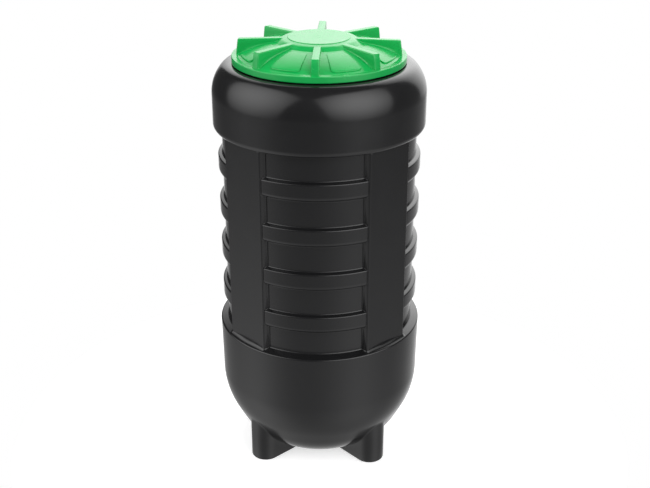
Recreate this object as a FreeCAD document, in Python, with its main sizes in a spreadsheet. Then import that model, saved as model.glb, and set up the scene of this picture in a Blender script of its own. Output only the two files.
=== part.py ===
import FreeCAD, Part
import math
import os
import Sketcher

doc = FreeCAD.newDocument("PumpingStationTank")

# Driving sizes in millimetres and degrees. Levels are heights above the floor the feet stand on.
driving = {
    "wall": 10,
    "ring_radius": 500,
    "foot_half_width": 73,
    "foot_reach": 447,
    "foot_inner": 150,
    "foot_top": 320,
    "foot_edge": 8,
    "floor_level": 40,
    "bowl_radius": 495,
    "straight_level": 414,
    "bowl_upper_round": 395,
    "bowl_cone_angle": 27.7,
    "bowl_lower_round": 160,
    "ledge_level": 690,
    "ledge_rise": 14,
    "ledge_edge": 7,
    "barrel_radius": 460,
    "panel_sector": 62,
    "band_radius": 481,
    "band_pitch": 219,
    "band_count": 4,
    "band_crest": 4,
    "band_lip": 3,
    "band_face": 70,
    "band_foot": 102,
    "band_edge": 5,
    "band_soft_edge": 45,
    "flat_distance": 470,
    "flat_half_width": 123,
    "return_depth": 40,
    "return_draft": 14,
    "flat_edge": 12,
    "ring_bottom": 1687,
    "ring_round": 34,
    "shoulder_level": 1855,
    "shoulder_width": 90,
    "shoulder_rise": 138,
    "crest_round": 60,
    "neck_radius": 388,
    "neck_top": 2012,
    "neck_fillet": 6,
    "lid_radius": 403,
    "lid_wall": 8,
    "lid_bottom": 1998,
    "lid_rim": 2027,
    "lid_edge": 4,
    "cover_radius": 372,
    "cover_level": 2026,
    "cover_round": 700,
    "dome_radius": 208,
    "dome_level": 2082.6,
    "dome_round": 108,
    "crown_level": 2103.2,
    "disc_radius": 145,
    "disc_level": 2106,
    "pad_inner": 218,
    "pad_outer": 361,
    "pad_sector": 23.2,
    "pad_inner_height": 3.5,
    "pad_outer_height": 6,
    "pad_corner": 12,
    "pad_edge": 2,
    "rib_inner": 150,
    "rib_half_base": 19,
    "rib_half_top": 17.3,
    "rib_top": 2100.5,
    "rib_fall": 0.03,
    "rib_reach_top": 372,
    "rib_reach_foot": 381,
    "rib_edge": 5,
}

sheet = doc.addObject("Spreadsheet::Sheet", "dims")
for row, (alias, value) in enumerate(driving.items(), start=1):
    sheet.set(f"A{row}", alias.replace("_", " "))
    sheet.set(f"B{row}", str(value))
    sheet.setAlias(f"B{row}", alias)
doc.recompute()


class Size:
    """A length, level or angle that carries its number and the sheet expression behind it."""

    def __init__(self, value, text):
        self.value = float(value)
        self.text = text

    def __add__(self, other):
        other = as_size(other)
        return Size(self.value + other.value, f"({self.text} + {other.text})")

    def __sub__(self, other):
        other = as_size(other)
        return Size(self.value - other.value, f"({self.text} - {other.text})")

    def __mul__(self, other):
        other = as_size(other)
        return Size(self.value * other.value, f"({self.text} * {other.text})")

    def __truediv__(self, other):
        other = as_size(other)
        return Size(self.value / other.value, f"({self.text} / {other.text})")

    def __neg__(self):
        return Size(-self.value, f"(0 - {self.text})")


def as_size(value):
    return value if isinstance(value, Size) else Size(value, f"{value}")


def dim(alias):
    return Size(driving[alias], f"dims.{alias}")


def sine(angle):
    return Size(math.sin(math.radians(angle.value)), f"sin({angle.text} * 1deg)")


def cosine(angle):
    return Size(math.cos(math.radians(angle.value)), f"cos({angle.text} * 1deg)")


def root(size):
    return Size(math.sqrt(size.value), f"sqrt({size.text})")


wall = dim("wall")
ring_radius = dim("ring_radius")
up = FreeCAD.Vector(0, 0, 1)
compass = {"right": 0, "back": 90, "left": 180, "front": 270}
diagonals = {"back_right": 45, "back_left": 135, "front_left": 225, "front_right": 315}
nodes = {}


def new_body(label, turn=0):
    body = doc.addObject("PartDesign::Body", label)
    body.Label = label
    body.Placement = FreeCAD.Placement(FreeCAD.Vector(), FreeCAD.Rotation(up, turn))
    return body


def arc_between(start, end, radius, turn):
    """Arc from start to end, turn 1 for anticlockwise and -1 for clockwise, less than half a circle."""
    chord = end - start
    half = chord.Length / 2
    side = FreeCAD.Vector(-chord.y, chord.x, 0)
    side.normalize()
    centre = (start + end) / 2 + side * (turn * math.sqrt(max(radius * radius - half * half, 0)))
    first, last = (start, end) if turn > 0 else (end, start)
    angles = [math.atan2(p.y - centre.y, p.x - centre.x) for p in (first, last)]
    return Part.ArcOfCircle(Part.Circle(centre, up, radius), angles[0], angles[1])


def draw(body, name, role, loops, offset=None):
    """Closed loops on an origin plane. Each corner is (x, y) or (x, y, radius, turn) where an arc
    leaves it, and is pinned to the sheet."""
    sketch = body.newObject("Sketcher::SketchObject", name)
    plane = next(item for item in body.Origin.OriginFeatures if item.Role == role)
    sketch.AttachmentSupport = (plane, [""])
    sketch.MapMode = "FlatFace"
    if offset is not None:
        sketch.setExpression("AttachmentOffset.Base.z", offset.text)
    for loop in loops:
        corners = [(as_size(c[0]), as_size(c[1])) for c in loop]
        places = [FreeCAD.Vector(x.value, y.value, 0) for x, y in corners]
        ends = []
        for index, corner in enumerate(loop):
            start = places[index]
            end = places[(index + 1) % len(loop)]
            if len(corner) == 2:
                edge = sketch.addGeometry(Part.LineSegment(start, end), False)
                ends.append((edge, 1, 2))
                continue
            radius, turn = corner[2:]
            edge = sketch.addGeometry(arc_between(start, end, radius.value, turn), False)
            ends.append((edge, 1, 2) if turn > 0 else (edge, 2, 1))
        for index, (edge, head, tail) in enumerate(ends):
            following, follow_head, _ = ends[(index + 1) % len(ends)]
            sketch.addConstraint(Sketcher.Constraint("Coincident", edge, tail, following, follow_head))
        for (edge, head, _), (x, y) in zip(ends, corners):
            for axis, size in (("DistanceX", x), ("DistanceY", y)):
                pin = sketch.addConstraint(Sketcher.Constraint(axis, edge, head, size.value))
                sketch.setExpression(f"Constraints[{pin}]", size.text)
        for (edge, _, _), corner in zip(ends, loop):
            if len(corner) > 2:
                pin = sketch.addConstraint(Sketcher.Constraint("Radius", edge, corner[2].value))
                sketch.setExpression(f"Constraints[{pin}]", corner[2].text)
    return sketch


def revolve(body, name, sketch, angle=360, kind="Revolution"):
    feature = body.newObject("PartDesign::" + kind, name)
    feature.Profile = sketch
    feature.ReferenceAxis = (sketch, ["V_Axis"])
    feature.Midplane = True
    feature.setExpression("Angle", as_size(angle).text)
    return feature


def round_edges(body, name, feature, radius, wanted):
    """Fillet on the edges of a feature for which wanted(edge) is true."""
    doc.recompute()
    picked = [f"Edge{i}" for i, edge in enumerate(feature.Shape.Edges, start=1) if wanted(edge)]
    fillet = body.newObject("PartDesign::Fillet", name)
    fillet.Base = (feature, picked)
    fillet.setExpression("Radius", radius.text)
    body.Tip = fillet
    return fillet


def cut_away(label, base, tool):
    piece = doc.addObject("Part::Cut", label)
    piece.Label = label
    piece.Base = base
    piece.Tool = tool
    nodes[label] = piece


def near(value, target):
    return abs(value - target) < 0.05


def is_ring_edge(edge, radius, levels):
    """True for an arc round the tank's axis with this radius, at one of these levels."""
    if edge.Curve.TypeId != "Part::GeomCircle":
        return False
    level = edge.CenterOfMass.z
    return near(edge.Curve.Radius, radius) and any(near(level, z) for z in levels)


# The bowl's outline: drafted wall, large round, cone, lower round, flat floor.
cone_angle = dim("bowl_cone_angle")
straight = dim("straight_level")
ledge_level = dim("ledge_level")
ledge_slope = dim("ledge_rise") / (ring_radius - dim("barrel_radius"))


def bowl_points(inset):
    """Corners of the bowl's outline from the floor edge upwards, moved inwards by inset."""
    upper = dim("bowl_upper_round") - inset
    lower = dim("bowl_lower_round") - inset
    upper_x = dim("bowl_radius") - dim("bowl_upper_round")
    lower_z = dim("floor_level") + dim("bowl_lower_round")
    fall = straight - dim("bowl_upper_round") * sine(cone_angle)
    fall = fall - lower_z + dim("bowl_lower_round") * sine(cone_angle)
    lower_x = upper_x + (dim("bowl_upper_round") - dim("bowl_lower_round")) * cosine(cone_angle)
    lower_x = lower_x - fall * sine(cone_angle) / cosine(cone_angle)
    return [
        (lower_x, lower_z - lower, lower, 1),
        (lower_x + lower * cosine(cone_angle), lower_z - lower * sine(cone_angle)),
        (upper_x + upper * cosine(cone_angle), straight - upper * sine(cone_angle), upper, 1),
        (upper_x + upper, straight),
    ]


def ledge_at(radius):
    return ledge_level + (ring_radius - radius) * ledge_slope


def reverse_path(points):
    """The same outline walked the other way, arcs included."""
    flipped = []
    for index in range(len(points) - 1, -1, -1):
        bend = points[index - 1][2:] if index > 0 else ()
        flipped.append(points[index][:2] + tuple([bend[0], -bend[1]] if bend else []))
    return flipped


inner_edge = dim("barrel_radius") - wall
bowl_outside = bowl_points(as_size(0))
bowl_inside = bowl_points(wall)
tier_profiles = {
    "lower_ring": [
        bowl_outside[3],
        (ring_radius, ledge_level),
        (inner_edge, ledge_at(inner_edge)),
        (inner_edge, ledge_at(inner_edge) - wall),
        (ring_radius - wall, ledge_at(ring_radius - wall) - wall),
        bowl_inside[3],
    ],
    "bowl_upper": bowl_outside[2:4] + reverse_path(bowl_inside[2:4]),
    "bowl_lower": bowl_outside[0:2] + [bowl_outside[2][:2]] + reverse_path(bowl_inside[0:3]),
}

for tier, profile in tier_profiles.items():
    for side, turn in compass.items():
        body = new_body(f"{tier}_{side}", turn)
        sketch = draw(body, f"{tier}_outline_{side}", "XZ_Plane", [profile])
        shell = revolve(body, f"{tier}_shell_{side}", sketch, 90)
        if tier == "lower_ring":
            round_edges(body, f"ledge_edge_{side}", shell, dim("ledge_edge"),
                        lambda edge: is_ring_edge(edge, driving["ring_radius"], [driving["ledge_level"]]))
        nodes[body.Label] = body

body = new_body("bowl_floor")
floor_edge = bowl_outside[0][0]
sketch = draw(body, "floor_outline", "XZ_Plane", [[
    (0, dim("floor_level")),
    (floor_edge, dim("floor_level")),
    (floor_edge, dim("floor_level") + wall),
    (0, dim("floor_level") + wall),
]])
revolve(body, "floor_plate", sketch)
nodes[body.Label] = body

# Feet: round-ended bars that stop at the bowl's underside.
bowl_solid = new_body("bowl_solid")
sketch = draw(bowl_solid, "bowl_solid_outline", "XZ_Plane", [
    [(0, dim("floor_level"))] + bowl_outside + [(0, straight)]])
revolve(bowl_solid, "bowl_solid_turned", sketch)

half_width = dim("foot_half_width")
foot_start = dim("foot_inner") + half_width
foot_end = dim("foot_reach") - half_width
for side, turn in diagonals.items():
    body = new_body(f"foot_bar_{side}", turn)
    sketch = draw(body, f"foot_outline_{side}", "XY_Plane", [[
        (foot_start, -half_width),
        (foot_end, -half_width, half_width, 1),
        (foot_end + half_width, 0, half_width, 1),
        (foot_end, half_width),
        (foot_start, half_width, half_width, 1),
        (foot_start - half_width, 0, half_width, 1),
    ]])
    bar = body.newObject("PartDesign::Pad", f"foot_pad_{side}")
    bar.Profile = sketch
    bar.setExpression("Length", "dims.foot_top")
    round_edges(body, f"foot_base_{side}", bar, dim("foot_edge"),
                lambda edge: near(edge.BoundBox.ZMax, 0))
    cut_away(f"foot_{side}", body, bowl_solid)

# Ribbed panels: a wall sector with bands pressed outwards, hollow behind, one pitch apart.
barrel = dim("barrel_radius")
band_out = dim("band_radius")
first_band = ledge_level + dim("band_pitch")
slope_run = (dim("band_foot") - dim("band_face")) / (band_out - barrel)
band_levels = [driving["ledge_level"] + driving["band_pitch"] * (i + 1) for i in range(driving["band_count"])]
diagonal = root(as_size(0.5))


def return_point(outward):
    """Point on the face where a ribbed panel ends against the flat panel's return."""
    x = dim("flat_distance") + outward
    y = dim("flat_half_width") - as_size(outward) * sine(dim("return_draft")) / cosine(dim("return_draft"))
    return (x + y) * diagonal, (x - y) * diagonal


def end_trims():
    """Loops over everything beyond the returns at both ends of a ribbed panel."""
    inner_x, inner_y = return_point(-80)
    outer_x, outer_y = return_point(40)
    clear = outer_y * 1.5
    one = [(inner_x, inner_y), (outer_x, outer_y), (outer_x, clear), (inner_x, clear)]
    other = [(x, -y) for x, y in reversed(one)]
    return [one, other]


for side, turn in compass.items():
    body = new_body(f"ribbed_wall_{side}", turn)
    sketch = draw(body, f"wall_outline_{side}", "XZ_Plane", [[
        (barrel - wall, ledge_at(barrel - wall)),
        (barrel, ledge_at(barrel)),
        (barrel, dim("ring_bottom")),
        (barrel - wall, dim("ring_bottom")),
    ]])
    revolve(body, f"wall_sector_{side}", sketch, dim("panel_sector"))
    outline = draw(body, f"band_outline_{side}", "XZ_Plane", [[
        (barrel - wall / 2, first_band - dim("band_foot")),
        (barrel, first_band - dim("band_foot")),
        (band_out, first_band - dim("band_face")),
        (band_out, first_band - dim("band_lip")),
        (barrel, first_band + dim("band_crest")),
        (barrel - wall / 2, first_band + dim("band_crest")),
    ]])
    band = revolve(body, f"band_{side}", outline, dim("panel_sector"))
    hollow_outline = draw(body, f"hollow_outline_{side}", "XZ_Plane", [[
        (barrel - wall * 1.1, first_band - dim("band_foot") + wall * 0.2),
        (band_out - wall, first_band - dim("band_face") + wall * 0.4),
        (band_out - wall, first_band - dim("band_lip") - wall * 0.8),
        (barrel - wall * 1.1, first_band + dim("band_crest") - wall * 0.6),
    ]])
    hollow = revolve(body, f"hollow_{side}", hollow_outline, dim("panel_sector"), "Groove")
    bands = body.newObject("PartDesign::LinearPattern", f"bands_{side}")
    bands.Originals = [band, hollow]
    bands.Direction = (outline, ["V_Axis"])
    bands.setExpression("Length", "dims.band_pitch * (dims.band_count - 1)")
    bands.setExpression("Occurrences", "dims.band_count")
    body.Tip = bands
    lips = [z - driving["band_lip"] for z in band_levels]
    crests = [z + driving["band_crest"] for z in band_levels]
    crisp = round_edges(body, f"band_ledges_{side}", bands, dim("band_edge"),
                        lambda edge: is_ring_edge(edge, driving["band_radius"], lips)
                        or is_ring_edge(edge, driving["barrel_radius"], crests))
    faces = [z - driving["band_face"] for z in band_levels]
    toes = [z - driving["band_foot"] for z in band_levels]
    soft = round_edges(body, f"band_slopes_{side}", crisp, dim("band_soft_edge"),
                       lambda edge: is_ring_edge(edge, driving["band_radius"], faces)
                       or is_ring_edge(edge, driving["barrel_radius"], toes))
    trim_outline = draw(body, f"trim_outline_{side}", "XY_Plane", end_trims())
    trim = body.newObject("PartDesign::Pocket", f"end_trim_{side}")
    trim.Profile = trim_outline
    trim.Type = "ThroughAll"
    trim.Reversed = True
    body.Tip = trim
    nodes[body.Label] = body

# Flat panels: channels standing on the ledge and running up under the top ring's rounding.
ring_bottom = dim("ring_bottom")
ring_round = dim("ring_round")
trim_inner = inner_edge - wall * 3
trim_outer = ring_radius + wall * 2
ring_trim = new_body("ring_trim")
sketch = draw(ring_trim, "ring_trim_outline", "XZ_Plane", [[
    (trim_inner, ring_bottom),
    (ring_radius - ring_round, ring_bottom, ring_round, 1),
    (ring_radius, ring_bottom + ring_round),
    (trim_outer, ring_bottom + ring_round),
    (trim_outer, ring_bottom + ring_round * 2),
    (trim_inner, ring_bottom + ring_round * 2),
]])
revolve(ring_trim, "ring_trim_turned", sketch)
ledge_trim = new_body("ledge_trim")
sketch = draw(ledge_trim, "ledge_trim_outline", "XZ_Plane", [[
    (trim_inner, ledge_level - wall * 4),
    (trim_outer, ledge_level - wall * 4),
    (trim_outer, ledge_at(trim_outer)),
    (trim_inner, ledge_at(trim_inner)),
]])
revolve(ledge_trim, "ledge_trim_turned", sketch)
wall_trims = doc.addObject("Part::MultiFuse", "wall_trims")
wall_trims.Shapes = [ring_trim, ledge_trim]

draft_slope = sine(dim("return_draft")) / cosine(dim("return_draft"))
flat_x = dim("flat_distance")
flat_y = dim("flat_half_width")
leg_x = flat_x - dim("return_depth")
leg_y = flat_y + dim("return_depth") * draft_slope
leg_width = wall / cosine(dim("return_draft"))
nook_y = flat_y + wall * draft_slope - leg_width
for side, turn in diagonals.items():
    body = new_body(f"flat_channel_{side}", turn)
    sketch = draw(body, f"flat_outline_{side}", "XY_Plane", [[
        (flat_x, -flat_y),
        (flat_x, flat_y),
        (leg_x, leg_y),
        (leg_x, leg_y - leg_width),
        (flat_x - wall, nook_y),
        (flat_x - wall, -nook_y),
        (leg_x, leg_width - leg_y),
        (leg_x, -leg_y),
    ]], ledge_level - wall)
    channel = body.newObject("PartDesign::Pad", f"flat_pad_{side}")
    channel.Profile = sketch
    channel.setExpression("Length", (ring_bottom + ring_round - ledge_level + wall).text)
    corner = math.hypot(driving["flat_distance"], driving["flat_half_width"])
    round_edges(body, f"flat_corners_{side}", channel, dim("flat_edge"),
                lambda edge: edge.BoundBox.ZLength > 100
                and near(math.hypot(edge.CenterOfMass.x, edge.CenterOfMass.y), corner))
    cut_away(f"flat_wall_{side}", body, wall_trims)

# Top ring and shoulder: rounded underside, upright band, two-round shoulder, crest and neck.
shoulder = dim("shoulder_level")
width = dim("shoulder_width")
rise = dim("shoulder_rise")
crest_round = dim("crest_round")
crest_x = ring_radius - width
crest_z = shoulder + rise
side_round = (width * width + rise * rise - rise * crest_round * 2) / ((width - crest_round) * 2)
run = side_round - width
climb = rise - crest_round
reach = root(run * run + climb * climb)
neck = dim("neck_radius")
neck_fillet = dim("neck_fillet")


def shoulder_points(inset):
    """Upright band, side round and crest round from below upwards, moved inwards by inset."""
    outer = side_round - inset
    return [
        (ring_radius - inset, ring_bottom + ring_round),
        (ring_radius - inset, shoulder, outer, 1),
        (ring_radius - side_round + run / reach * outer, shoulder + climb / reach * outer,
         crest_round - inset, 1),
        (crest_x, crest_z - inset),
    ]


under_round = ring_round - wall
shoulder_profile = [
    (inner_edge, ring_bottom),
    (ring_radius - ring_round, ring_bottom, ring_round, 1),
] + shoulder_points(as_size(0)) + [
    (neck + neck_fillet, crest_z, neck_fillet, -1),
    (neck, crest_z + neck_fillet),
    (neck, dim("neck_top")),
    (neck - wall, dim("neck_top")),
    (neck - wall, crest_z - wall),
] + reverse_path(shoulder_points(wall))[:-1] + [
    (ring_radius - wall, ring_bottom + ring_round, under_round, -1),
    (ring_radius - ring_round, ring_bottom + wall),
    (inner_edge, ring_bottom + wall),
]
for side, turn in compass.items():
    body = new_body(f"shoulder_{side}", turn)
    sketch = draw(body, f"shoulder_outline_{side}", "XZ_Plane", [shoulder_profile])
    revolve(body, f"shoulder_shell_{side}", sketch, 90)
    nodes[body.Label] = body

# Lid: bowed cover with a skirt over the neck, raised pads between the ribs, low dome, plain centre disc.
lid_wall = dim("lid_wall")
lid_edge = dim("lid_edge")
crown = dim("crown_level")
cover_round = dim("cover_round")
dome_round = dim("dome_round")
cover_foot = (dim("cover_radius"), dim("cover_level"))
dome_foot = (dim("dome_radius"), dim("dome_level"))
crown_edge = (dim("disc_radius"), crown)


def arc_centre(start, end, radius):
    """Centre of an anticlockwise arc from start to end, as sheet sizes."""
    run = end[0] - start[0]
    climb = end[1] - start[1]
    square = run * run + climb * climb
    shift = root((radius * radius - square / 4) / square)
    return (start[0] + end[0]) / 2 - climb * shift, (start[1] + end[1]) / 2 + run * shift


def moved_in(point, centre, radius, inset):
    """The point moved towards an arc's centre by inset."""
    share = (radius - inset) / radius
    return tuple(c + (p - c) * share for p, c in zip(point, centre))


cover_centre = arc_centre(cover_foot, dome_foot, cover_round)
dome_centre = arc_centre(dome_foot, crown_edge, dome_round)


def cover_at(radius):
    across = as_size(radius) - cover_centre[0]
    return cover_centre[1] + root(cover_round * cover_round - across * across)


def arc_from(point, radius, turn):
    return point + (radius, turn)


lid_outside = [
    (dim("lid_radius"), dim("lid_rim") - lid_edge, lid_edge, 1),
    (dim("lid_radius") - lid_edge, dim("lid_rim")),
    arc_from(cover_foot, cover_round, 1),
    arc_from(dome_foot, dome_round, 1),
    crown_edge,
]
plate_profile = [
    (0, dim("disc_level")),
    (0, crown - lid_wall),
    arc_from(moved_in(crown_edge, dome_centre, dome_round, lid_wall), dome_round - lid_wall, -1),
    moved_in(dome_foot, dome_centre, dome_round, lid_wall),
    arc_from(moved_in(dome_foot, cover_centre, cover_round, lid_wall), cover_round - lid_wall, -1),
    moved_in(cover_foot, cover_centre, cover_round, lid_wall),
    (dim("lid_radius") - lid_wall, dim("lid_rim") - lid_wall),
    (dim("lid_radius") - lid_wall, dim("lid_bottom")),
    (dim("lid_radius"), dim("lid_bottom")),
] + lid_outside + [
    (dim("disc_radius"), dim("disc_level")),
]
body = new_body("plate_blank", 22.5)
sketch = draw(body, "plate_outline", "XZ_Plane", [plate_profile])
revolve(body, "plate_turned", sketch)
pad_growth = (dim("pad_outer_height") - dim("pad_inner_height")) / (dim("pad_outer") - dim("pad_inner"))
pad_foot = [(radius, cover_at(radius) - lid_wall / 2) for radius in (dim("pad_inner"), dim("pad_outer"))]
pad_outline = draw(body, "pad_outline", "XZ_Plane", [[
    arc_from(pad_foot[0], cover_round, -1),
    pad_foot[1],
    (dim("pad_outer"), cover_at(dim("pad_outer")) + dim("pad_outer_height"), cover_round, 1),
    (dim("pad_inner"), cover_at(dim("pad_inner")) + dim("pad_inner_height")),
]])
pad = revolve(body, "pad", pad_outline, dim("pad_sector"))
pad.Refine = False
pads = body.newObject("PartDesign::PolarPattern", "pads")
pads.Originals = [pad]
pads.Axis = (pad_outline, ["V_Axis"])
pads.Angle = 360
pads.Occurrences = 8
pads.Refine = False
body.Tip = pads


def is_upright(edge):
    ends = [vertex.Point for vertex in edge.Vertexes]
    return len(ends) == 2 and math.dist(ends[0][:2], ends[1][:2]) < 0.1


def pad_spot(edge):
    """Radius of the edge's middle and its height over the cover."""
    middle = edge.CenterOfMass
    radius = math.hypot(middle.x, middle.y)
    return radius, middle.z - cover_at(radius).value


def is_pad_corner(edge):
    """True for the short upright edges at the corners of the pads."""
    return is_upright(edge) and edge.Length < 20 and pad_spot(edge)[0] > driving["pad_inner"] - 5


def is_pad_top(edge):
    """True for the upper outline of a pad, its rounded corners included."""
    radius, height = pad_spot(edge)
    rise = driving["pad_inner_height"] + (radius - driving["pad_inner"]) * pad_growth.value
    on_pad = driving["pad_inner"] - 5 < radius < driving["pad_outer"] + 5
    return on_pad and abs(height - rise) < 1.7 and not is_upright(edge)


corners = round_edges(body, "pad_corners", pads, dim("pad_corner"), is_pad_corner)
corners.Refine = False
doc.recompute()
plate = doc.addObject("Part::Fillet", "lid_plate")
plate.Base = body
plate.Edges = [(i, driving["pad_edge"], driving["pad_edge"])
               for i, edge in enumerate(body.Shape.Edges, start=1) if is_pad_top(edge)]
nodes["lid_plate"] = plate

lid_solid = new_body("lid_solid")
sketch = draw(lid_solid, "lid_solid_outline", "XZ_Plane", [
    [(0, dim("lid_bottom")), (dim("lid_radius"), dim("lid_bottom"))] + lid_outside + [(0, crown)]])
revolve(lid_solid, "lid_solid_turned", sketch)

rib_base = dim("lid_bottom") + dim("rib_edge")
rib_drop = (dim("rib_reach_top") - dim("rib_inner")) * dim("rib_fall")
rib_end_top = dim("rib_top") - rib_drop
for side, turn in {**compass, **diagonals}.items():
    body = new_body(f"rib_blank_{side}", turn)
    sketch = draw(body, f"rib_section_{side}", "YZ_Plane", [[
        (-dim("rib_half_base"), rib_base),
        (dim("rib_half_base"), rib_base),
        (dim("rib_half_top"), dim("rib_top") + wall / 2),
        (-dim("rib_half_top"), dim("rib_top") + wall / 2),
    ]], dim("rib_inner"))
    bar = body.newObject("PartDesign::Pad", f"rib_bar_{side}")
    bar.Profile = sketch
    bar.setExpression("Length", "dims.lid_radius - dims.rib_inner")
    end_outline = draw(body, f"rib_end_outline_{side}", "XZ_Plane", [[
        (dim("rib_reach_foot"), dim("lid_bottom") - wall),
        (dim("lid_radius") + wall, dim("lid_bottom") - wall),
        (dim("lid_radius") + wall, dim("rib_top") + wall),
        (dim("rib_inner") - wall, dim("rib_top") + wall),
        (dim("rib_inner") - wall, dim("rib_top") + dim("rib_fall") * wall),
        (dim("rib_reach_top"), rib_end_top),
        (dim("rib_reach_foot"), dim("lid_rim")),
    ]])
    end_cut = body.newObject("PartDesign::Pocket", f"rib_end_{side}")
    end_cut.Profile = end_outline
    end_cut.Type = "ThroughAll"
    end_cut.Midplane = True
    body.Tip = end_cut
    round_edges(body, f"rib_edges_{side}", end_cut, dim("rib_edge"),
                lambda edge: edge.BoundBox.ZMin > rib_end_top.value - 0.1
                and edge.CenterOfMass.x > driving["rib_inner"] + 1
                or (edge.BoundBox.ZLength > 60 and edge.BoundBox.XMin > 300))
    cut_away(f"lid_rib_{side}", body, lid_solid)

doc.recompute()
os.makedirs("parts", exist_ok=True)
for item in doc.Objects:
    if "Invalid" in item.State or "Error" in item.State:
        raise RuntimeError(f"{item.Label} did not build: {item.State}")
for label, item in nodes.items():
    if item.Shape.isNull() or not item.Shape.isValid() or len(item.Shape.Solids) != 1:
        raise RuntimeError(f"{label} is not one valid solid")
    item.Shape.exportStep(f"parts/{label}.step")
    box = item.Shape.BoundBox
    print(f"{label}: {item.Shape.Volume / 1e6:.2f} l, z {box.ZMin:.1f} to {box.ZMax:.1f}")
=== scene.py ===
import math

import bpy
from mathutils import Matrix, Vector


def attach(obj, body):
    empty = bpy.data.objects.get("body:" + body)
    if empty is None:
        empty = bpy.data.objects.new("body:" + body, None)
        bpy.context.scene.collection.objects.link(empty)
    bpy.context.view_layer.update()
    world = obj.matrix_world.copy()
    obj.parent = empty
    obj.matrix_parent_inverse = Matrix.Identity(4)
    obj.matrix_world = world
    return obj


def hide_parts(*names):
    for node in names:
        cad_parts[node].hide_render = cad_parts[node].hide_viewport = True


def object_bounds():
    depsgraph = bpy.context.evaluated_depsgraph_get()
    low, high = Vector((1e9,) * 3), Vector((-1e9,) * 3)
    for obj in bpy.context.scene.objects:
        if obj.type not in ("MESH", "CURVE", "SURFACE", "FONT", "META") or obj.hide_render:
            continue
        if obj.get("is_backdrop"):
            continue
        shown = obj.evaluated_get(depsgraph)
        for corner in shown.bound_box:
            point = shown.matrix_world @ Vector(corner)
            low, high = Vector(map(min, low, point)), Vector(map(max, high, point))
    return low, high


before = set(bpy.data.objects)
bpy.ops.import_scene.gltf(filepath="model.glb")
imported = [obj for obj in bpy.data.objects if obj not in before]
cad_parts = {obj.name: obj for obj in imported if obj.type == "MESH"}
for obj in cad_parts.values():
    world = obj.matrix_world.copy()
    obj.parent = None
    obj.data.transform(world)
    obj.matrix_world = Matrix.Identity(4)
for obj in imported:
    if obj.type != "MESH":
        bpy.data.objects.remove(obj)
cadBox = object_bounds()
mm = 0.001  # sizes are in millimetres, meshes in metres


def nodesNamed(*starts):
    return [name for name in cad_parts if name.startswith(starts)]


# helpers for node trees, outlines and meshes

def hexColour(text):
    # sRGB as written to the linear values that shaders take
    channels = [int(text[i:i + 2], 16) / 255 for i in (1, 3, 5)]
    return [c / 12.92 if c <= 0.04045 else ((c + 0.055) / 1.055) ** 2.4 for c in channels] + [1.0]


def addNode(tree, kind, inputs=None, **settings):
    node = tree.nodes.new(kind)
    for name, value in settings.items():
        setattr(node, name, value)
    for key, value in (inputs or {}).items():
        if isinstance(value, bpy.types.Node):
            value = value.outputs[0]
        if isinstance(value, bpy.types.NodeSocket):
            tree.links.new(value, node.inputs[key])
        else:
            node.inputs[key].default_value = value
    return node


def emptyTree(owner):
    # the node tree of a material or a world
    owner.use_nodes = True
    owner.node_tree.nodes.clear()
    return owner.node_tree


def newTree(name, sockets):
    tree = bpy.data.node_groups.new(name, "GeometryNodeTree")
    tree.interface.new_socket("Geometry", in_out="INPUT", socket_type="NodeSocketGeometry")
    for label, kind in sockets.items():
        tree.interface.new_socket(label, in_out="INPUT", socket_type=f"NodeSocket{kind}")
    tree.interface.new_socket("Geometry", in_out="OUTPUT", socket_type="NodeSocketGeometry")
    return tree


def closeTree(tree, geometry, material):
    real = addNode(tree, "GeometryNodeRealizeInstances", {0: geometry})
    coloured = addNode(tree, "GeometryNodeSetMaterial", {"Geometry": real, "Material": material})
    addNode(tree, "NodeGroupOutput", {0: coloured})
    return tree


def settle(piece, tree, values):
    # run the tree once, keep the result as a plain mesh
    modifier = piece.modifiers.new(tree.name, "NODES")
    modifier.node_group = tree
    for item in tree.interface.items_tree:
        if item.in_out == "INPUT" and item.name in values:
            modifier[item.identifier] = values[item.name]
    graph = bpy.context.evaluated_depsgraph_get()
    mesh = bpy.data.meshes.new_from_object(piece.evaluated_get(graph))
    piece.modifiers.remove(modifier)
    piece.data = mesh
    mesh.name = piece.name


leastRound = 2  # a corner that is inset far stays this round
edgeTurns = [math.radians(18 * i) for i in range(6)]  # a rounded edge is a quarter turn in five steps


def roundedPath(corners, arcStep, arcLength, leastSteps=4, flatRuns=True):
    # corners are (radius, level, rounding), arcs get a point every arcStep degrees or arcLength
    points = [Vector(corners[0][:2])]
    hold = 3  # a long straight run has a point this close to each end, so that it shades flat
    leastGap = 0.05

    def runTo(target):
        start = points[-1]
        length = (target - start).length
        if flatRuns and length > 4 * hold:
            for place in (start.lerp(target, hold / length), target.lerp(start, hold / length)):
                if place.x > 2 * hold:  # none beside the axis
                    points.append(place)
        points.append(target)

    for before, corner, after in zip(corners, corners[1:], corners[2:]):
        place, rounding = Vector(corner[:2]), corner[2]
        arriving = (place - Vector(before[:2])).normalized()
        leaving = (Vector(after[:2]) - place).normalized()
        turn = math.atan2(arriving.x * leaving.y - arriving.y * leaving.x, arriving.dot(leaving))
        reach = rounding * math.tan(abs(turn) / 2)
        runTo(place - arriving * reach)
        if reach == 0:
            continue
        side = Vector((-arriving.y, arriving.x)) * math.copysign(1, turn)
        centre = points[-1] + side * rounding
        byAngle, byLength = math.degrees(abs(turn)) / arcStep, abs(turn) * rounding / arcLength
        steps = math.ceil(max(leastSteps, byAngle, byLength))
        for i in range(1, steps + 1):
            angle = abs(turn) * i / steps
            points.append(centre + arriving * rounding * math.sin(angle)
                          - side * rounding * math.cos(angle))
    runTo(Vector(corners[-1][:2]))
    return [point for i, point in enumerate(points)
            if i == 0 or (point - points[i - 1]).length > leastGap]


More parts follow.
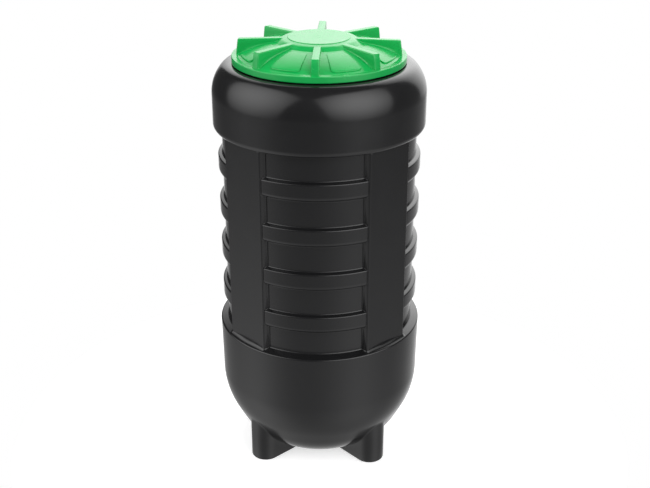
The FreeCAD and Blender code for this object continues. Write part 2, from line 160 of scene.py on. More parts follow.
def insetCorners(corners, distance):
    # the same open polygon moved to the left of its direction, its last corner left out
    lines = []
    for start, end in zip(corners, corners[1:]):
        along = (Vector(end[:2]) - Vector(start[:2])).normalized()
        lines.append((Vector(start[:2]) + Vector((-along.y, along.x)) * distance, along))
    moved = [(lines[0][0].x, lines[0][0].y, 0)]
    for corner, (first, d1), (second, d2) in zip(corners[1:], lines, lines[1:]):
        cross = d1.x * d2.y - d1.y * d2.x
        gap = second - first
        place = first + d1 * ((gap.x * d2.y - gap.y * d2.x) / cross)
        rounding = corner[2] - math.copysign(distance, cross)
        moved.append((place.x, place.y, max(rounding, leastRound)))
    return moved


def levelAt(path, radius):
    # height of an outline that runs outwards, at one radius
    for low, high in zip(path, path[1:]):
        if low.x <= radius <= high.x and high.x > low.x:
            return low.y + (high.y - low.y) * (radius - low.x) / (high.x - low.x)
    return path[-1].y


def fullTurn(step):
    return [math.radians(step * i) for i in range(round(360 / step))]


def meshPiece(name, verts, faces):
    mesh = bpy.data.meshes.new(name)
    mesh.from_pydata([Vector(v) * mm for v in verts], [], faces)
    mesh.polygons.foreach_set("use_smooth", [True] * len(mesh.polygons))
    piece = bpy.data.objects.new(name, mesh)
    bpy.context.scene.collection.objects.link(piece)
    return piece


def turnedPiece(name, path, angles):
    # the free side is on the right of the path, a ring on the axis is one point
    onAxis = 0.01
    verts, faces, rings = [], [], []
    for radius, level in path:
        around = angles if radius > onAxis else angles[:1]
        rings.append(range(len(verts), len(verts) + len(around)))
        verts.extend((radius * math.cos(a), radius * math.sin(a), level) for a in around)
    for low, high in zip(rings, rings[1:]):
        for i in range(len(angles)):
            j = (i + 1) % len(angles)
            quad = low[i % len(low)], low[j % len(low)], high[j % len(high)], high[i % len(high)]
            faces.append(list(dict.fromkeys(quad)))
    return meshPiece(name, verts, faces)


def loftedPiece(name, loops):
    # loops of equal count from the bottom up, anticlockwise and alike on both sides of the x axis
    leastStrip = 1
    count = len(loops[0])
    verts = [v for loop in loops for v in loop]
    startX, startY = loops[0][0][:2]
    misses = [abs(x - startX) + abs(y + startY) for x, y, level in loops[0]]
    facing = misses.index(min(misses))  # the point across from the first
    rows = range((facing - count + 1) // 2, facing // 2 + 1)  # from the middle of one end to the other's

    def stripsAcross(loop):
        # they close an end and keep to a bent surface
        cuts = [rows[0]]
        for i in rows:
            if loop[i][0] - loop[cuts[-1]][0] > leastStrip:
                cuts.append(i)
        cuts[-1] = rows[-1]
        for near, far in zip(cuts, cuts[1:]):
            around = [*range(near, far + 1), *range(facing - far, facing - near + 1)]
            yield list(dict.fromkeys(k % count for k in around))

    last = len(verts) - count
    faces = [strip[::-1] for strip in stripsAcross(loops[0])]
    for low in range(0, last, count):
        for i in range(count):
            j = (i + 1) % count
            faces.append([low + i, low + j, low + count + j, low + count + i])
    faces += [[last + k for k in strip] for strip in stripsAcross(loops[-1])]
    return meshPiece(name, verts, faces)


def roundedRectangle(start, end, halfWidth, rounding, inset, arcSteps, sideSteps, endSteps):
    # lies along x; inset shrinks it, a negative inset grows it
    start, end, halfWidth = start + inset, end - inset, halfWidth - inset
    rounding = max(rounding - inset, leastRound)
    arcs = []
    for x, y, first in ((end - rounding, rounding - halfWidth, -90),
                        (end - rounding, halfWidth - rounding, 0),
                        (start + rounding, halfWidth - rounding, 90),
                        (start + rounding, rounding - halfWidth, 180)):
        turns = [math.radians(first + 90 * i / arcSteps) for i in range(arcSteps + 1)]
        arcs.append([Vector((x + rounding * math.cos(a), y + rounding * math.sin(a))) for a in turns])
    points = []
    for arc, following, steps in zip(arcs, arcs[1:] + arcs[:1], (endSteps, sideSteps) * 2):
        points += arc if steps else arc[:-1]  # with no run the two arcs share a point
        points += [arc[-1].lerp(following[0], i / steps) for i in range(1, steps)]
    return points


# materials

moulding = {"index": 1.51, "grain": 6.0, "peelStrength": 0.06, "peelDepth": 1, "cloudRange": (0.3, 0.7),
            "glossSpread": 0.03}
mouldedBlack = {"deep": "#161617", "pale": "#1a1a1b", "roughness": 0.17, "cloud": 110.0}
mouldedGreen = {"deep": "#0ba64b", "pale": "#12b155", "roughness": 0.25, "cloud": 80.0}


def mouldedPolyethylene(name, look):
    # rotationally moulded polyethylene: waxy satin skin, faint orange peel, clouds of paler pigment
    material = bpy.data.materials.new(name)
    tree = emptyTree(material)
    place = addNode(tree, "ShaderNodeTexCoord").outputs["Object"]
    cloud = addNode(tree, "ShaderNodeTexNoise", {
        "Vector": place, "Scale": 1 / (look["cloud"] * mm), "Detail": 3.0})
    tint = addNode(tree, "ShaderNodeMix", {  # inputs 6 and 7 and output 2 are its colours
        "Factor": cloud, 6: hexColour(look["deep"]), 7: hexColour(look["pale"])}, data_type="RGBA")
    gloss = addNode(tree, "ShaderNodeMapRange", {
        "Value": cloud, "From Min": moulding["cloudRange"][0], "From Max": moulding["cloudRange"][1],
        "To Min": look["roughness"] - moulding["glossSpread"],
        "To Max": look["roughness"] + moulding["glossSpread"]})
    grain = addNode(tree, "ShaderNodeTexNoise", {
        "Vector": place, "Scale": 1 / (moulding["grain"] * mm), "Detail": 2.0})
    bump = addNode(tree, "ShaderNodeBump", {
        "Height": grain, "Strength": moulding["peelStrength"], "Distance": moulding["peelDepth"] * mm})
    shader = addNode(tree, "ShaderNodeBsdfPrincipled", {
        "Base Color": tint.outputs[2], "Roughness": gloss, "IOR": moulding["index"], "Normal": bump})
    addNode(tree, "ShaderNodeOutputMaterial", {"Surface": shader})
    return material


blackSkin = mouldedPolyethylene("blackMouldedPolyethylene", mouldedBlack)
greenSkin = mouldedPolyethylene("greenMouldedPolyethylene", mouldedGreen)
print("materials ready")

# tank skin: one meridian with true roundings, turned, then the flat panels set into it

tank = {"floorLevel": 14, "coneFoot": 335.3, "lowerRound": 300, "coneTop": 316, "upperRound": 395,
        "bowlRadius": 494, "ringRadius": 500, "ledgeLevel": 690, "ledgeRise": 14, "ledgeEdge": 7,
        "wallFoot": 7, "barrelRadius": 460, "bandRadius": 481, "bandPitch": 219, "bandCount": 4,
        "bandCrest": 4, "bandLip": 3, "bandFace": 78, "bandFoot": 88, "bandEdge": 6.5,
        "bandSoftEdge": 20, "ringBottom": 1689, "ringRound": 26, "shoulderLevel": 1855,
        "shoulderWidth": 90, "shoulderRise": 138, "crestRound": 60, "neckRadius": 388, "neckFoot": 6,
        "neckTop": 2012, "neckEdge": 3, "wall": 10}
panel = {"distance": 470, "halfWidth": 123, "draft": 14, "edge": 18, "crease": 6, "creaseShare": 0.5,
         "weld": 0.02}


def tankCorners():
    t = tank
    ring, barrel = t["ringRadius"], t["barrelRadius"]
    width, rise, crest = t["shoulderWidth"], t["shoulderRise"], t["crestRound"]
    # the shoulder's side round runs on into its crest round
    sideRound = (width ** 2 + rise ** 2 - 2 * rise * crest) / (2 * (width - crest))
    tilt = math.atan2(rise - crest, sideRound - width)
    corners = [(0, t["floorLevel"], 0),
               (t["coneFoot"], t["floorLevel"], t["lowerRound"]),
               (t["bowlRadius"], t["coneTop"], t["upperRound"]),
               (ring, t["ledgeLevel"], t["ledgeEdge"]),
               (barrel, t["ledgeLevel"] + t["ledgeRise"], t["wallFoot"])]
    for i in range(t["bandCount"]):
        top = t["ledgeLevel"] + t["bandPitch"] * (i + 1)
        corners += [(barrel, top - t["bandFoot"], t["bandEdge"]),
                    (t["bandRadius"], top - t["bandFace"], t["bandSoftEdge"]),
                    (t["bandRadius"], top - t["bandLip"], t["bandEdge"]),
                    (barrel, top + t["bandCrest"], t["bandEdge"])]
    crestReach = crest * math.tan(math.pi / 4 - tilt / 2)
    corners += [(barrel, t["ringBottom"], t["wallFoot"]),
                (ring, t["ringBottom"], t["ringRound"]),
                (ring, t["shoulderLevel"] + sideRound * math.tan(tilt / 2), sideRound),
                (ring - width + crestReach, t["shoulderLevel"] + rise, crest)]
    return corners


def panelAngles():
    # columns crowd together where a flat panel's edge and return turn
    offsets = (0, 3, 6, 9, 11.5, 13.2, 13.8, 14.15, 14.4, 14.6, 14.8, 15.0, 15.25, 15.6, 16.0, 16.3,
               16.55, 16.8, 17.1, 17.5, 18.1, 19, 20.5, 22.5, 25, 28, 31, 34.5, 38, 41.5)
    angles = set()
    for middle in (45, 135, 225, 315):
        for offset in offsets:
            angles.update(round((middle + side * offset) % 360, 4) for side in (-1, 1))
        angles.add((middle + 45) % 360)
    return [math.radians(a) for a in sorted(angles)]


def flatPanelTree():
    # where a panel stands, the turned skin gives way to its flat face and splayed returns
    sizes = ("Distance", "Half Width", "Draft", "Wall", "Edge", "Crease", "Crease Share", "Bottom",
             "Top", "Margin", "Weld")
    tree = newTree("flatPanels", {**dict.fromkeys(sizes, "Float"), "Material": "Material"})
    given = addNode(tree, "NodeGroupInput").outputs
    position = addNode(tree, "GeometryNodeInputPosition")
    place = addNode(tree, "ShaderNodeSeparateXYZ", {0: position}).outputs
    level = addNode(tree, "ShaderNodeVectorMath", {0: position, 1: (1, 1, 0)}, operation="MULTIPLY")
    radius = addNode(tree, "ShaderNodeVectorMath", {0: level}, operation="LENGTH")
    inside = addNode(tree, "GeometryNodeInputNamedAttribute", {"Name": "inside"}, data_type="FLOAT")
    known = {"x": place["X"], "y": place["Y"], "z": place["Z"], "radius": radius.outputs["Value"],
             "inside": inside}
    known.update({socket.name: socket for socket in given if socket.name})
    rule = [("heading", "ARCTAN2", "y", "x"),
            ("turned", "SUBTRACT", "heading", math.pi / 4),
            ("angle", "PINGPONG", "turned", math.pi / 4),  # from the nearest panel's middle
            ("slope", "TANGENT", "angle"),
            ("spread", "TANGENT", "Draft"),
            ("lean", "COSINE", "Draft"),
            ("thickness", "MULTIPLY", "Wall", "inside"),
            ("face", "SUBTRACT", "Distance", "thickness"),
            ("returnGain", "MULTIPLY", "thickness", "spread"),
            ("returnLoss", "DIVIDE", "thickness", "lean"),
            ("grown", "ADD", "Half Width", "returnGain"),
            ("half", "SUBTRACT", "grown", "returnLoss"),
            ("across", "MULTIPLY", "face", "slope"),
            ("past", "SUBTRACT", "across", "half"),
            ("steepness", "ADD", "spread", "slope"),
            ("depth", "DIVIDE", "past", "steepness"),  # how far down the return
            ("sunk", "SMOOTH_MAX", "depth", 0.0, "Edge"),
            ("reach", "SUBTRACT", "face", "sunk"),
            ("cosine", "COSINE", "angle"),
            ("panelRadius", "DIVIDE", "reach", "cosine"),
            ("onFace", "LESS_THAN", "depth", 0.0),
            ("low", "ADD", "Bottom", "Margin"),
            ("high", "SUBTRACT", "Top", "Margin"),
            ("overLow", "GREATER_THAN", "z", "low"),
            ("underHigh", "LESS_THAN", "z", "high"),
            ("between", "MULTIPLY", "overLow", "underHigh"),
            ("hidden", "MULTIPLY", "onFace", "between"),  # bands end at the returns
            ("kept", "SUBTRACT", 1.0, "hidden"),
            ("skinRadius", "MULTIPLY", "radius", "kept"),
            ("outer", "MAXIMUM", "skinRadius", "panelRadius"),
            ("apart", "SUBTRACT", "skinRadius", "panelRadius"),
            ("gap", "ABSOLUTE", "apart"),
            ("near", "SUBTRACT", "Crease", "gap"),
            ("notch", "MAXIMUM", "near", 0.0),  # a sharp crease where a return meets the turned wall
            ("notchDepth", "MULTIPLY", "notch", "Crease Share"),
            ("joined", "SUBTRACT", "outer", "notchDepth"),
            ("scale", "DIVIDE", "joined", "radius"),
            ("overBottom", "GREATER_THAN", "z", "Bottom"),
            ("underTop", "LESS_THAN", "z", "Top"),
            ("chosen", "MULTIPLY", "overBottom", "underTop"),
            ("newX", "MULTIPLY", "x", "scale"),
            ("newY", "MULTIPLY", "y", "scale")]
    for name, operation, *terms in rule:
        inputs = {i: known.get(term, term) for i, term in enumerate(terms)}
        known[name] = addNode(tree, "ShaderNodeMath", inputs, operation=operation)
    target = addNode(tree, "ShaderNodeCombineXYZ", {0: known["newX"], 1: known["newY"], 2: known["z"]})
    moved = addNode(tree, "GeometryNodeSetPosition", {
        "Geometry": given["Geometry"], "Selection": known["chosen"], "Position": target})
    welded = addNode(tree, "GeometryNodeMergeByDistance", {"Geometry": moved, "Distance": given["Weld"]})
    return closeTree(tree, welded, given["Material"])


outside = tankCorners()
neckInside = tank["neckRadius"] - tank["wall"]
neck = [(tank["neckRadius"], outside[-1][1], tank["neckFoot"]),
        (tank["neckRadius"], tank["neckTop"], tank["neckEdge"]),
        (neckInside, tank["neckTop"], tank["neckEdge"]),
        (neckInside, tank["neckTop"] - 2 * tank["wall"], 0)]
inside = insetCorners(outside + neck[:1], tank["wall"])
mouth = (neckInside, inside[-1][1], tank["neckFoot"])
outerPath = roundedPath(outside + neck, arcStep=15, arcLength=16)
innerPath = roundedPath([neck[-1], mouth] + inside[::-1], arcStep=45, arcLength=40, leastSteps=2,
                        flatRuns=False)[1:]  # its first point ends the outer path
columns = panelAngles()
tankShell = turnedPiece("tankShell", outerPath + innerPath, columns)
insideMark = tankShell.data.attributes.new("inside", "FLOAT", "POINT")
outerCount = 1 + (len(outerPath) - 1) * len(columns)  # the floor's middle is one point
insideMark.data.foreach_set("value", [float(i >= outerCount) for i in range(len(insideMark.data))])
settle(tankShell, flatPanelTree(), {
    "Distance": panel["distance"] * mm, "Half Width": panel["halfWidth"] * mm,
    "Draft": math.radians(panel["draft"]), "Wall": tank["wall"] * mm, "Edge": panel["edge"] * mm,
    "Crease": panel["crease"] * mm, "Crease Share": panel["creaseShare"],
    "Bottom": (tank["ledgeLevel"] - 2 * tank["wall"]) * mm,
    "Top": (tank["ringBottom"] + tank["ringRound"]) * mm,
    "Margin": (2 * tank["wall"] + 2 * tank["ledgeRise"]) * mm, "Weld": panel["weld"] * mm,
    "Material": blackSkin})
print("tank skin:", len(outerPath + innerPath), "rings,", len(tankShell.data.polygons), "faces")

# feet and lid details: one is lofted, the tree sets copies round the axis

def copiesTree():
    tree = newTree("copiesRoundAxis", {"Count": "Int", "First": "Float", "Material": "Material"})
    given = addNode(tree, "NodeGroupInput").outputs
    points = addNode(tree, "GeometryNodePoints", {"Count": given["Count"]})
    index = addNode(tree, "GeometryNodeInputIndex")
    share = addNode(tree, "ShaderNodeMath", {0: index, 1: given["Count"]}, operation="DIVIDE")
    turn = addNode(tree, "ShaderNodeMath", {0: share, 1: 2 * math.pi, 2: given["First"]},
                   operation="MULTIPLY_ADD")
    rotation = addNode(tree, "ShaderNodeCombineXYZ", {"Z": turn})
    copies = addNode(tree, "GeometryNodeInstanceOnPoints", {
        "Points": points, "Instance": given["Geometry"], "Rotation": rotation})
    return closeTree(tree, copies, given["Material"])


copiesRoundAxis = copiesTree()


def filletOnto(outline, spread, drop, surface, steps):
    # loops that leave an upright side in a hollow curve and run out on a surface
    loops = []
    for k in range(1, steps + 1):
        u = k / steps
        loop = []
        for near, far in zip(outline, spread):
            middle, end = surface(near.length), surface(far.length)
            start = middle + drop(near)
            level = (1 - u) ** 2 * start + 2 * u * (1 - u) * middle + u ** 2 * end
            place = near.lerp(far, u ** 2)
            loop.append((place.x, place.y, level))
        loops.append(loop)
    return loops


foot = {"count": 4, "first": 45, "inner": 150, "reach": 447, "halfWidth": 73, "edge": 8, "fillet": 6,
        "sunk": 3, "sideRows": 3, "topInsets": (0, 15, 30, 45, 60, 70)}


def footLoops():
    f = foot

    def outline(inset):
        return roundedRectangle(f["inner"], f["reach"], f["halfWidth"], f["halfWidth"], inset,
                                arcSteps=12, sideSteps=12, endSteps=0)

    def bowl(radius):
        return levelAt(outerPath, radius)

    def filletDrop(p):
        return -min(f["fillet"], (bowl(p.length) - f["edge"]) / 2)  # less where the bowl is low

    loops = []
    for angle in edgeTurns:
        level = f["edge"] * (1 - math.cos(angle))
        loops.append([(p.x, p.y, level) for p in outline(f["edge"] * (1 - math.sin(angle)))])
    side = outline(0)
    heights = [bowl(p.length) + filletDrop(p) - f["edge"] for p in side]
    for i in range(1, f["sideRows"] + 1):
        levels = [f["edge"] + height * i / f["sideRows"] for height in heights]
        loops.append([(p.x, p.y, level) for p, level in zip(side, levels)])
    loops += filletOnto(side, outline(-f["fillet"]), filletDrop, bowl, steps=6)
    for inset in (-f["fillet"], *f["topInsets"]):  # the hidden top lies inside the bowl's wall
        loops.append([(p.x, p.y, bowl(p.length) + f["sunk"]) for p in outline(inset)])
    return loops


tankFeet = loftedPiece("tankFeet", footLoops())
settle(tankFeet, copiesRoundAxis, {
    "Count": foot["count"], "First": math.radians(foot["first"]), "Material": blackSkin})
print("feet:", len(tankFeet.data.polygons), "faces")

# lid

lid = {"radius": 403, "wall": 8, "bottom": 1998, "rim": 2027, "edge": 4, "coverFoot": 372,
       "coverFootLevel": 2026, "coverFillet": 10, "coverRadius": 300, "coverLevel": 2062,
       "coverRound": 520, "domeRadius": 198, "domeLevel": 2082.6, "domeFoot": 8, "browRadius": 171,
       "browLevel": 2099, "browRound": 35, "crown": 2103.2, "discRadius": 145, "discFoot": 1.5,
       "discDraft": 1, "discEdge": 2, "discLevel": 2106, "columnStep": 2.5}


def lidCorners():
    # skirt, a cover that bows up to the dome's foot, and the dome's brow up to the disc
    return [(lid["radius"], lid["bottom"], 0),
            (lid["radius"], lid["rim"], lid["edge"]),
            (lid["coverFoot"], lid["coverFootLevel"], lid["coverFillet"]),
            (lid["coverRadius"], lid["coverLevel"], lid["coverRound"]),
            (lid["domeRadius"], lid["domeLevel"], lid["domeFoot"]),
            (lid["browRadius"], lid["browLevel"], lid["browRound"])]


lidSide = lidCorners()
disc = [(lid["discRadius"], lid["crown"], lid["discFoot"]),
        (lid["discRadius"] - lid["discDraft"], lid["discLevel"], lid["discEdge"]),
        (0, lid["discLevel"], 0)]
underside = insetCorners(lidSide + [(0, lid["crown"], 0)], lid["wall"])
lidTop = roundedPath(lidSide + disc, arcStep=12, arcLength=10)
lidUnder = roundedPath([(0, lid["crown"] - lid["wall"], 0)] + underside[::-1], arcStep=20, arcLength=20)
plateOutline = lidTop[::-1]
lidPlate = turnedPiece("lidPlate", lidUnder + lidTop, fullTurn(lid["columnStep"]))
lidPlate.data.materials.append(greenSkin)
print("lid plate:", len(lidPlate.data.polygons), "faces")


def plateLevel(radius):
    return levelAt(plateOutline, radius)


rib = {"count": 8, "first": 0, "inner": 158, "halfBase": 19, "halfTop": 17.3, "top": 2100.5,
       "fall": 0.03, "reachTop": 372, "reachFoot": 381, "edge": 5, "fillet": 0.6, "leastRise": 6.2,
       "sunk": 3, "deepest": 7, "sideShares": (0.02, 0.33, 0.67, 1)}


def ribLoops():
    # drafted bar: its rounded outline narrows with height, its top falls a little outwards
    r = rib
    height = r["top"] - lid["rim"]

    def outline(up, inset=0):
        reach = r["reachFoot"] + (r["reachTop"] - r["reachFoot"]) * up
        halfWidth = r["halfBase"] + (r["halfTop"] - r["halfBase"]) * up
        return roundedRectangle(r["inner"], reach, halfWidth, r["edge"], inset,
                                arcSteps=6, sideSteps=24, endSteps=3)

    def topAt(radius):
        return r["top"] - r["fall"] * (radius - r["inner"])

    def ground(radius):
        return min(plateLevel(radius), topAt(radius) - r["leastRise"])

    def bottom(radius):  # hidden in the plate's wall
        return max(ground(radius) - r["sunk"], plateLevel(radius) - r["deepest"])

    base, top, wide = outline(0), outline(1), outline(0, -r["fillet"])
    loops = [[(p.x, p.y, bottom(p.length)) for p in wide]]
    loops += filletOnto(base, wide, lambda p: r["fillet"], ground, steps=4)[::-1]
    for share in r["sideShares"]:
        loop = []
        for low, high in zip(base, top):
            start = ground(low.length) + r["fillet"]
            level = start + (topAt(high.x) - r["edge"] - start) * share
            place = low.lerp(high, (level - lid["rim"]) / height)
            loop.append((place.x, place.y, level))
        loops.append(loop)
    for angle in edgeTurns[1:]:
        drop = r["edge"] * (1 - math.sin(angle))
        edge = outline(1, r["edge"] * (1 - math.cos(angle)))
        loops.append([(p.x, p.y, topAt(p.x) - drop) for p in edge])
    return loops


lidRibs = loftedPiece("lidRibs", ribLoops())
settle(lidRibs, copiesRoundAxis, {
    "Count": rib["count"], "First": math.radians(rib["first"]), "Material": greenSkin})
print("ribs:", len(lidRibs.data.polygons), "faces")

pad = {"count": 8, "first": 22.5, "inner": 218, "outer": 361, "sector": 23.2, "lowEnd": 2.5,
       "highEnd": 6, "corner": 14, "edge": 2.4, "sunk": 3, "insets": (0, 9, 20, 32, 45), "core": 4}


def padLoops():
    middle = (pad["inner"] + pad["outer"]) / 2
    half = math.radians(pad["sector"] / 2) * middle
    insets = (*pad["insets"], half - pad["core"])  # rows that follow the bowed plate

    def loop(inset, drop=0, hidden=False):
        places = []
        for p in roundedRectangle(pad["inner"], pad["outer"], half, pad["corner"], inset,
                                  arcSteps=7, sideSteps=10, endSteps=8):
            turn = p.y / middle  # the sides run to the lid's axis
            growth = (pad["highEnd"] - pad["lowEnd"]) * (p.x - pad["inner"])
            rise = pad["lowEnd"] + growth / (pad["outer"] - pad["inner"])
            level = plateLevel(p.x) + (-pad["sunk"] if hidden else rise - drop)
            places.append((p.x * math.cos(turn), p.x * math.sin(turn), level))
        return places

    loops = [loop(inset, hidden=True) for inset in insets[::-1]]
    for angle in edgeTurns:
        loops.append(loop(pad["edge"] * (1 - math.cos(angle)), pad["edge"] * (1 - math.sin(angle))))
    return loops + [loop(inset) for inset in insets[1:]]


lidPads = loftedPiece("lidPads", padLoops())
settle(lidPads, copiesRoundAxis, {
    "Count": pad["count"], "First": math.radians(pad["first"]), "Material": greenSkin})
print("pads:", len(lidPads.data.polygons), "faces")

# which body each piece goes with, and which CAD nodes it stands for

shellNodes = nodesNamed("lower_ring", "bowl", "ribbed_wall", "flat_wall", "shoulder")
for piece, body, slot, nodes in (
        (tankShell, "tank", "tank_plastic", shellNodes),
        (tankFeet, "tank", "tank_plastic", nodesNamed("foot")),
        (lidPlate, "lid", "lid_plastic", nodesNamed("lid_plate")),
        (lidRibs, "lid", "lid_plastic", nodesNamed("lid_rib")),
        (lidPads, "lid", "lid_plastic", [])):
    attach(piece, body)
    if nodes:
        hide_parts(*nodes)
print("pieces placed on their bodies")

# studio: a pale floor that takes the shadow, three large soft boxes in a dim room, white behind

studio = {"floorRadius": 1600, "floorRings": 8, "floorStep": 5, "floorLevel": -0.5,
          "floorColour": "#e6e6e6", "lift": 0.6, "room": 0.12, "slant": 0.06, "slantFrom": 30,
          "ground": 0.3, "groundEdge": (-0.15, -0.65), "spill": 10.0, "spillDown": -39,
          "behind": (180, -24), "behindEdge": (0.92, 0.98)}
# the boxes are alike, a third of a turn apart, and lean over the tank; sizes are slopes in a box's plane
softBox = {"tilt": 24, "halfWidth": 0.78, "foot": -0.8, "top": 0.73, "softEdge": 0.04, "softFoot": 0.1,
           "hot": 0.1, "fall": 1.85}
boxPlaces = ({"azimuth": -73, "brightness": 2.5, "onGround": 0.56},
             {"azimuth": 47.5, "brightness": 2.8, "onGround": 0.47},
             {"azimuth": 168, "brightness": 2.7, "onGround": 0.58})
# lamp and camera are in metres, watts and degrees, the lens in millimetres
topLamp = {"height": 5.5, "width": 2.5, "power": 36}
viewpoint = {"azimuth": 2.8, "aside": 0.32, "distance": 4.7998, "height": 3.2522, "pitch": 24.5,
             "lens": 58.82}


def makeFloor():
    rings = range(studio["floorRings"], -1, -1)
    path = [(studio["floorRadius"] * i / studio["floorRings"], studio["floorLevel"]) for i in rings]
    floor = turnedPiece("floor", path, fullTurn(studio["floorStep"]))
    material = bpy.data.materials.new("paleFloor")
    tree = emptyTree(material)
    matt = addNode(tree, "ShaderNodeBsdfDiffuse", {"Color": hexColour(studio["floorColour"])})
    lift = addNode(tree, "ShaderNodeEmission", {"Strength": studio["lift"]})
    both = addNode(tree, "ShaderNodeAddShader", {0: matt, 1: lift})
    below = addNode(tree, "ShaderNodeNewGeometry").outputs["Backfacing"]
    clear = addNode(tree, "ShaderNodeBsdfTransparent")  # from underneath, the feet show through
    oneSided = addNode(tree, "ShaderNodeMixShader", {0: below, 1: both, 2: clear})
    addNode(tree, "ShaderNodeOutputMaterial", {"Surface": oneSided})
    floor.data.materials.append(material)
    floor.visible_glossy = floor.visible_diffuse = False  # the world's ground lights the tank instead
    floor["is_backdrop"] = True


def towards(azimuth, elevation):
    a, e = math.radians(azimuth), math.radians(elevation)
    return Vector((math.sin(a) * math.cos(e), -math.cos(a) * math.cos(e), math.sin(e)))


def boxGlow(tree, direction, azimuth):
    # one soft box: it falls off from a hot spot and ends softly at its edges
    box = softBox
    lean = (math.radians(-box["tilt"]), 0, math.radians(azimuth))
    turned = addNode(tree, "ShaderNodeVectorRotate", {"Vector": direction, "Rotation": lean},
                     rotation_type="EULER_XYZ", invert=True)
    depth = addNode(tree, "ShaderNodeSeparateXYZ", {0: turned}).outputs["Y"]
    ahead = addNode(tree, "ShaderNodeMath", {0: depth, 1: -1.0}, operation="MULTIPLY")
    plane = addNode(tree, "ShaderNodeVectorMath", {0: turned, 1: ahead}, operation="DIVIDE")
    fromHot = addNode(tree, "ShaderNodeVectorMath", {0: plane, 1: (0, -1, box["hot"])},
                      operation="SUBTRACT")
    square = addNode(tree, "ShaderNodeVectorMath", {0: fromHot, 1: fromHot}, operation="DOT_PRODUCT")
    glow = addNode(tree, "ShaderNodeMath", {0: math.exp(-box["fall"]), 1: square.outputs["Value"]},
                   operation="POWER")
    front = addNode(tree, "ShaderNodeMath", {0: ahead, 1: 0.0}, operation="GREATER_THAN")
    glow = addNode(tree, "ShaderNodeMath", {0: glow, 1: front}, operation="MULTIPLY")
    across = addNode(tree, "ShaderNodeSeparateXYZ", {0: plane}).outputs
    sideways = addNode(tree, "ShaderNodeMath", {0: across["X"]}, operation="ABSOLUTE")
    for at, edge, soft in ((sideways, box["halfWidth"], -box["softEdge"]),
                           (across["Z"], box["top"], -box["softEdge"]),
                           (across["Z"], box["foot"], box["softFoot"])):
        fade = addNode(tree, "ShaderNodeMapRange", {
            "Value": at, "From Min": edge - soft, "From Max": edge + soft}, interpolation_type="SMOOTHSTEP")
        glow = addNode(tree, "ShaderNodeMath", {0: glow, 1: fade}, operation="MULTIPLY")
    return glow


def groundSpill(tree, direction, azimuth):
    # the pool of light that a box throws on the ground before it
    pool = towards(azimuth, studio["spillDown"])
    under = addNode(tree, "ShaderNodeVectorMath", {0: direction, 1: pool}, operation="DOT_PRODUCT")
    away = addNode(tree, "ShaderNodeMath", {0: under.outputs["Value"], 1: 1.0}, operation="SUBTRACT")
    return addNode(tree, "ShaderNodeMath", {0: math.exp(studio["spill"]), 1: away}, operation="POWER")


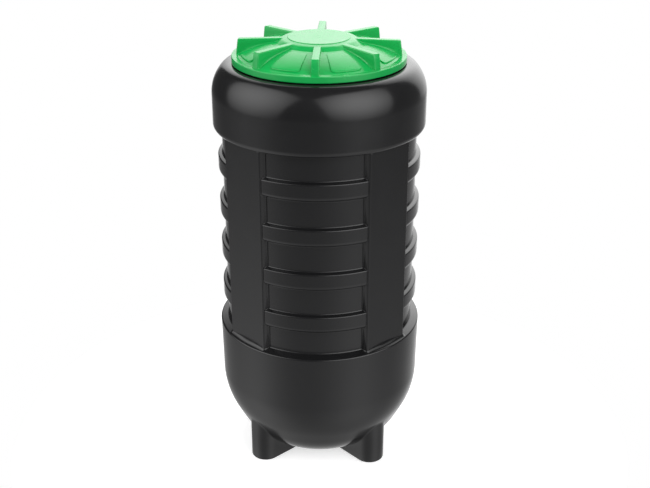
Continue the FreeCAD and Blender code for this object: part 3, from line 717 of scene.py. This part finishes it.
def makeWorld():
    world = bpy.data.worlds.new("studio")
    bpy.context.scene.world = world
    tree = emptyTree(world)
    direction = addNode(tree, "ShaderNodeTexCoord").outputs["Generated"]
    height = addNode(tree, "ShaderNodeSeparateXYZ", {0: direction}).outputs["Z"]
    paler = towards(studio["slantFrom"], 0) * studio["slant"]  # one side of the room is a little lighter
    slant = addNode(tree, "ShaderNodeVectorMath", {0: direction, 1: paler}, operation="DOT_PRODUCT")
    light = addNode(tree, "ShaderNodeMath", {0: slant.outputs["Value"], 1: studio["room"]},
                    operation="ADD")
    ground = addNode(tree, "ShaderNodeMapRange", {
        "Value": height, "From Min": studio["groundEdge"][0], "From Max": studio["groundEdge"][1],
        "To Max": studio["ground"]}, interpolation_type="SMOOTHSTEP")
    for place in boxPlaces:
        glow = boxGlow(tree, direction, place["azimuth"])
        light = addNode(tree, "ShaderNodeMath", {0: glow, 1: place["brightness"], 2: light},
                        operation="MULTIPLY_ADD")
        spill = groundSpill(tree, direction, place["azimuth"])
        ground = addNode(tree, "ShaderNodeMath", {0: spill, 1: place["onGround"], 2: ground},
                         operation="MULTIPLY_ADD")
    light = addNode(tree, "ShaderNodeMath", {0: light, 1: ground}, operation="ADD")
    # white behind the tank, for the camera and for the gloss along the tank's outline
    ray = addNode(tree, "ShaderNodeLightPath").outputs
    past = addNode(tree, "ShaderNodeVectorMath", {0: direction, 1: towards(*studio["behind"])},
                   operation="DOT_PRODUCT")
    patch = addNode(tree, "ShaderNodeMapRange", {
        "Value": past.outputs["Value"], "From Min": studio["behindEdge"][0],
        "From Max": studio["behindEdge"][1]})
    mirrored = addNode(tree, "ShaderNodeMath", {0: ray["Is Glossy Ray"], 1: patch}, operation="MULTIPLY")
    seen = addNode(tree, "ShaderNodeMath", {0: ray["Is Camera Ray"], 1: ray["Is Transmission Ray"]},
                   operation="MAXIMUM")
    white = addNode(tree, "ShaderNodeMath", {0: seen, 1: mirrored}, operation="MAXIMUM")
    level = addNode(tree, "ShaderNodeMix", {"Factor": white, 2: light, 3: 1.0})  # a strength of 1 is white
    background = addNode(tree, "ShaderNodeBackground", {
        "Color": hexColour("#ffffff"), "Strength": level})
    addNode(tree, "ShaderNodeOutputWorld", {"Surface": background})


def makeTopLamp():
    # evens out the upward faces and has no mirror image in them
    lamp = bpy.data.lights.new("topLamp", "AREA")
    lamp.shape = "DISK"
    lamp.size = topLamp["width"]
    lamp.energy = topLamp["power"]
    hung = bpy.data.objects.new("topLamp", lamp)
    hung.location.z = topLamp["height"]
    hung.visible_glossy = False
    bpy.context.scene.collection.objects.link(hung)


def makeCamera():
    camera = bpy.data.cameras.new("camera")
    camera.lens = viewpoint["lens"]
    eye = bpy.data.objects.new("camera", camera)
    bpy.context.scene.collection.objects.link(eye)
    turn = math.radians(viewpoint["azimuth"])
    away = viewpoint["distance"]
    eye.location = (away * math.sin(turn), -away * math.cos(turn), viewpoint["height"])
    eye.rotation_euler = (math.radians(90 - viewpoint["pitch"]), 0,
                          turn - math.radians(viewpoint["aside"]))
    bpy.context.scene.camera = eye


makeFloor()
makeWorld()
makeTopLamp()
makeCamera()
bpy.context.scene.view_settings.view_transform = "Standard"
print("studio ready")

boxes = {"cad": cadBox, "visual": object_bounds()}
{name: [list(corner) for corner in box] for name, box in boxes.items()}
